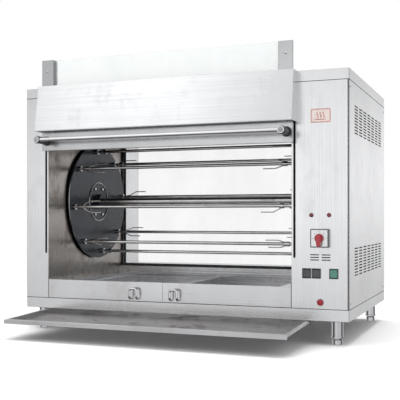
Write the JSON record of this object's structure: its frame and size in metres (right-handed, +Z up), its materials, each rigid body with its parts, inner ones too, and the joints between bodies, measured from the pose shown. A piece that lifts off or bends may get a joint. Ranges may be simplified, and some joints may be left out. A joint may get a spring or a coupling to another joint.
{
  "type": "rotisserie oven",
  "caption": "Floor-standing spit roaster: steel box with a raised glass sash door, planetary spits between discs, drip pans, serving tray and a side control cabinet.",
  "frame": {"origin": "on the floor, below the centre of the whole object's box", "axes": "+X to the right along the front, +Y to the rear, +Z up"},
  "size_m": [1.214, 1.0248, 0.992],
  "materials": {
    "casing_steel": "brushed",
    "liner_steel": "satin",
    "sash_steel": "brushed",
    "pan_steel": "satin",
    "tray_steel": "satin",
    "bright_steel": "polished",
    "rod_steel": "satin",
    "disc_enamel": "satin dark enamel",
    "seal_black": "matt",
    "black_plastic": "moulded",
    "bezel_black": "gloss",
    "knob_red": "gloss",
    "lamp_red": "clear red",
    "rocker_grey": "gloss",
    "rocker_green": "gloss",
    "badge_enamel": "satin",
    "clear_glass": "polished",
    "cast_grey": "painted",
    "gear_steel": "machined",
    "heater_sheath": "oxidised",
    "foot_steel": "satin",
    "guide_steel": "ground",
    "gland_grey": "moulded"
  },
  "bodies": {
    "root": {"base_frame": "casing_steel", "left_casing": "casing_steel", "control_panel": "casing_steel", "right_side_panel": "casing_steel", "roof_panel": "casing_steel", "rear_frame": "casing_steel", "hood": "casing_steel", "left_liner": "liner_steel", "right_liner": "liner_steel", "ceiling_liner": "liner_steel", "pan_ledge": "liner_steel", "rear_glass": "clear_glass", "rear_glass_seal": "seal_black", "door_seals": "seal_black", "door_guides": "guide_steel", "leg_tubes": "foot_steel", "levelling_feet": "foot_steel", "badge_plate": "badge_enamel", "pilot_lamps": "lamp_red", "switch_plate": "bezel_black", "rocker_bezels": "bezel_black", "gearmotor": "cast_grey", "sun_gear": "gear_steel", "shaft_bearings": "gear_steel", "heating_elements": "heater_sheath", "cable_gland": "gland_grey", "tray_runners": "black_plastic", "panel_screws": "bright_steel", "sash_cables": "rod_steel"},
    "lower_sash": {"lower_sash_frame": "sash_steel", "lower_sash_glass": "clear_glass", "handle_bar": "bright_steel", "handle_mounts": "black_plastic"},
    "upper_sash": {"upper_sash_frame": "sash_steel", "upper_sash_glass": "clear_glass"},
    "counterweight_left_body": {"counterweight_left": "cast_grey"},
    "counterweight_right_body": {"counterweight_right": "cast_grey"},
    "pulley_left_body": {"pulley_left": "black_plastic"},
    "pulley_right_body": {"pulley_right": "black_plastic"},
    "rotor": {"rotor_disc_left": "disc_enamel", "rotor_disc_right": "disc_enamel", "rotor_shaft": "rod_steel"},
    "left_pan": {"drip_pan_left": "pan_steel", "pan_handle_left": "bright_steel"},
    "right_pan": {"drip_pan_right": "pan_steel", "pan_handle_right": "bright_steel"},
    "tray": {"serving_tray": "tray_steel"},
    "knob": {"switch_knob": "knob_red"},
    "rocker_1_body": {"rocker_1": "rocker_grey"},
    "rocker_2_body": {"rocker_2": "rocker_grey"},
    "rocker_3_body": {"rocker_3": "rocker_green"},
    "button": {"reset_button": "knob_red"},
    "spit_1_body": {"spit_1": "rod_steel"},
    "spit_2_body": {"spit_2": "rod_steel"},
    "spit_3_body": {"spit_3": "rod_steel"},
    "spit_4_body": {"spit_4": "rod_steel"},
    "spit_5_body": {"spit_5": "rod_steel"},
    "spit_6_body": {"spit_6": "rod_steel"},
    "spit_7_body": {"spit_7": "rod_steel"},
    "spit_8_body": {"spit_8": "rod_steel"}
  },
  "joints": [
    {"name": "lower_sash_slide", "type": "slide", "parent": "root", "child": "lower_sash", "axis": [0, 0, 1], "range_m": [-0.472, 0], "deforming": ["sash_cables"]},
    {"name": "upper_sash_slide", "type": "slide", "parent": "root", "child": "upper_sash", "axis": [0, 0, 1], "range_m": [-0.236, 0]},
    {"name": "counterweight_left_slide", "type": "slide", "parent": "root", "child": "counterweight_left_body", "axis": [0, 0, 1], "range_m": [0, 0.472]},
    {"name": "pulley_left_turn", "type": "hinge", "parent": "root", "child": "pulley_left_body", "pos_m": [-0.533, -0.17858, 0.822], "axis": [1, 0, 0], "range_deg": [-2, 904]},
    {"name": "counterweight_right_slide", "type": "slide", "parent": "root", "child": "counterweight_right_body", "axis": [0, 0, 1], "range_m": [0, 0.472]},
    {"name": "pulley_right_turn", "type": "hinge", "parent": "root", "child": "pulley_right_body", "pos_m": [0.437, -0.17858, 0.822], "axis": [1, 0, 0], "range_deg": [-2, 904]},
    {"name": "rotor_spin", "type": "hinge", "parent": "root", "child": "rotor", "pos_m": [-0.048, 0.11942, 0.48], "axis": [1, 0, 0], "continuous": true},
    {"name": "spit_1_spin", "type": "hinge", "parent": "rotor", "child": "spit_1_body", "pos_m": [-0.048, 0.32198, 0.50415], "axis": [1, 0, 0], "continuous": true},
    {"name": "spit_2_spin", "type": "hinge", "parent": "rotor", "child": "spit_2_body", "pos_m": [-0.048, 0.24557, 0.64031], "axis": [1, 0, 0], "continuous": true},
    {"name": "spit_3_spin", "type": "hinge", "parent": "rotor", "child": "spit_3_body", "pos_m": [-0.048, 0.09526, 0.68256], "axis": [1, 0, 0], "continuous": true},
    {"name": "spit_4_spin", "type": "hinge", "parent": "rotor", "child": "spit_4_body", "pos_m": [-0.048, -0.0409, 0.60616], "axis": [1, 0, 0], "continuous": true},
    {"name": "spit_5_spin", "type": "hinge", "parent": "rotor", "child": "spit_5_body", "pos_m": [-0.048, -0.08315, 0.45585], "axis": [1, 0, 0], "continuous": true},
    {"name": "spit_6_spin", "type": "hinge", "parent": "rotor", "child": "spit_6_body", "pos_m": [-0.048, -0.00674, 0.31969], "axis": [1, 0, 0], "continuous": true},
    {"name": "spit_7_spin", "type": "hinge", "parent": "rotor", "child": "spit_7_body", "pos_m": [-0.048, 0.14357, 0.27744], "axis": [1, 0, 0], "continuous": true},
    {"name": "spit_8_spin", "type": "hinge", "parent": "rotor", "child": "spit_8_body", "pos_m": [-0.048, 0.27973, 0.35384], "axis": [1, 0, 0], "continuous": true},
    {"name": "left_pan_slide", "type": "slide", "parent": "root", "child": "left_pan", "axis": [0, -1, 0], "range_m": [0, 0.45]},
    {"name": "right_pan_slide", "type": "slide", "parent": "root", "child": "right_pan", "axis": [0, -1, 0], "range_m": [0, 0.45]},
    {"name": "tray_slide", "type": "slide", "parent": "root", "child": "tray", "axis": [0, 0.9994, 0.0349], "range_m": [0, 0.262]},
    {"name": "switch_knob_turn", "type": "hinge", "parent": "root", "child": "knob", "pos_m": [0.5115, -0.24058, 0.348], "axis": [0, 1, 0], "range_deg": [-90, 0]},
    {"name": "rocker_1_tilt", "type": "hinge", "parent": "root", "child": "rocker_1_body", "pos_m": [0.467, -0.23758, 0.2335], "axis": [1, 0, 0], "range_deg": [-16, 0]},
    {"name": "rocker_2_tilt", "type": "hinge", "parent": "root", "child": "rocker_2_body", "pos_m": [0.499, -0.23758, 0.2335], "axis": [1, 0, 0], "range_deg": [-16, 0]},
    {"name": "rocker_3_tilt", "type": "hinge", "parent": "root", "child": "rocker_3_body", "pos_m": [0.556, -0.23758, 0.2335], "axis": [1, 0, 0], "range_deg": [-16, 0]},
    {"name": "reset_button_press", "type": "slide", "parent": "root", "child": "button", "axis": [0, 1, 0], "range_m": [0, 0.003], "stiffness_N_per_m": 400}
  ],
  "couplings": [
    {"joint": "upper_sash_slide", "follows": "lower_sash_slide", "ratio": 0.5},
    {"joint": "counterweight_left_slide", "follows": "lower_sash_slide", "ratio": -1},
    {"joint": "pulley_left_turn", "follows": "lower_sash_slide", "rad_per_m": -33.333},
    {"joint": "counterweight_right_slide", "follows": "lower_sash_slide", "ratio": -1},
    {"joint": "pulley_right_turn", "follows": "lower_sash_slide", "rad_per_m": -33.333},
    {"joint": "spit_1_spin", "follows": "rotor_spin", "ratio": 6.2857},
    {"joint": "spit_2_spin", "follows": "rotor_spin", "ratio": 6.2857},
    {"joint": "spit_3_spin", "follows": "rotor_spin", "ratio": 6.2857},
    {"joint": "spit_4_spin", "follows": "rotor_spin", "ratio": 6.2857},
    {"joint": "spit_5_spin", "follows": "rotor_spin", "ratio": 6.2857},
    {"joint": "spit_6_spin", "follows": "rotor_spin", "ratio": 6.2857},
    {"joint": "spit_7_spin", "follows": "rotor_spin", "ratio": 6.2857},
    {"joint": "spit_8_spin", "follows": "rotor_spin", "ratio": 6.2857}
  ]
}
